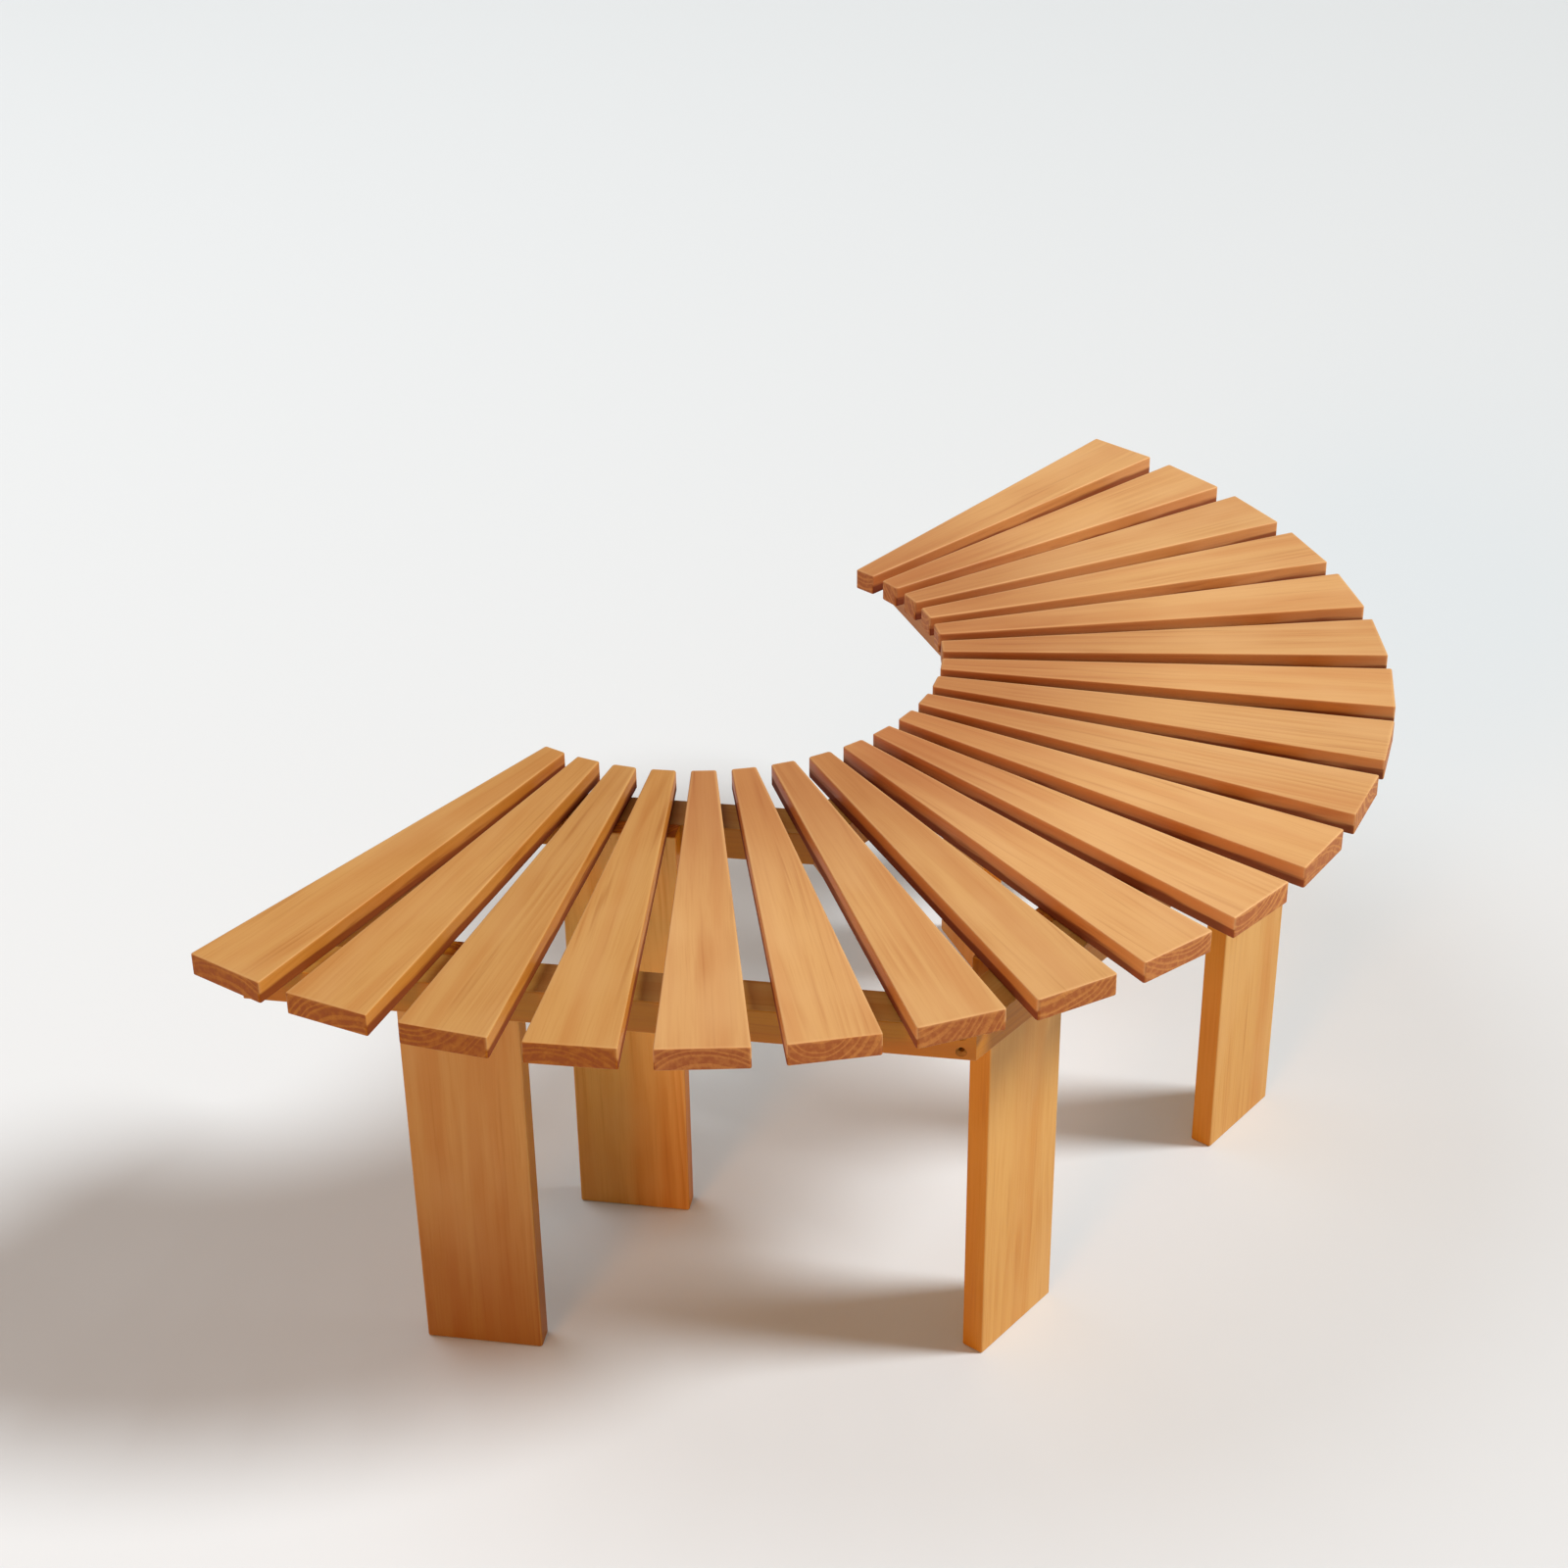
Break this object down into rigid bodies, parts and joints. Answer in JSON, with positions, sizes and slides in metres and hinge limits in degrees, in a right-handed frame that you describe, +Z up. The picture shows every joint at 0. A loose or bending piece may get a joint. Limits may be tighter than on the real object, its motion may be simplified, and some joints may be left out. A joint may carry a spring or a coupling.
{
  "type": "tree bench",
  "caption": "Half-round slatted timber bench on board legs, with a round hollow in its back that takes half of a tree's trunk.",
  "frame": {"origin": "on the ground, below the middle of the bounding box", "axes": "+Z up, -Y towards the rounded front of the seat, +Y towards the tree, +X along the open back, to the right as seen from the front"},
  "size_m": [1.3218, 0.6542, 0.44],
  "materials": {
    "seat_timber": "planed softwood, oiled warm honey brown, satin",
    "frame_timber": "planed softwood, oiled honey brown, satin",
    "leg_timber": "planed softwood, oiled orange brown, satin",
    "screw_steel": "yellow passivated zinc, dulled outdoors",
    "dowel_timber": "plain hardwood dowel"
  },
  "bodies": {
    "root": {"slat_01": "seat_timber", "slat_02": "seat_timber", "slat_03": "seat_timber", "slat_04": "seat_timber", "slat_05": "seat_timber", "slat_06": "seat_timber", "slat_07": "seat_timber", "slat_08": "seat_timber", "slat_09": "seat_timber", "slat_10": "seat_timber", "slat_11": "seat_timber", "slat_12": "seat_timber", "slat_13": "seat_timber", "slat_14": "seat_timber", "slat_15": "seat_timber", "slat_16": "seat_timber", "slat_17": "seat_timber", "slat_18": "seat_timber", "slat_19": "seat_timber", "slat_20": "seat_timber", "outer_rail_left": "frame_timber", "outer_rail_front": "frame_timber", "outer_rail_right": "frame_timber", "inner_rail_left": "frame_timber", "inner_rail_front": "frame_timber", "inner_rail_right": "frame_timber", "end_bearer_left": "frame_timber", "corner_bearer_left": "frame_timber", "corner_bearer_right": "frame_timber", "end_bearer_right": "frame_timber", "outer_leg_left": "leg_timber", "outer_leg_front_left": "leg_timber", "outer_leg_front_right": "leg_timber", "outer_leg_right": "leg_timber", "inner_leg_left": "leg_timber", "inner_leg_right": "leg_timber", "outer_slat_screws": "screw_steel", "inner_slat_screws": "screw_steel", "outer_corner_screws": "screw_steel", "inner_corner_screws": "screw_steel", "outer_leg_screws": "screw_steel", "inner_leg_screws": "screw_steel", "outer_dowels": "dowel_timber", "inner_dowels": "dowel_timber"}
  },
  "joints": []
}
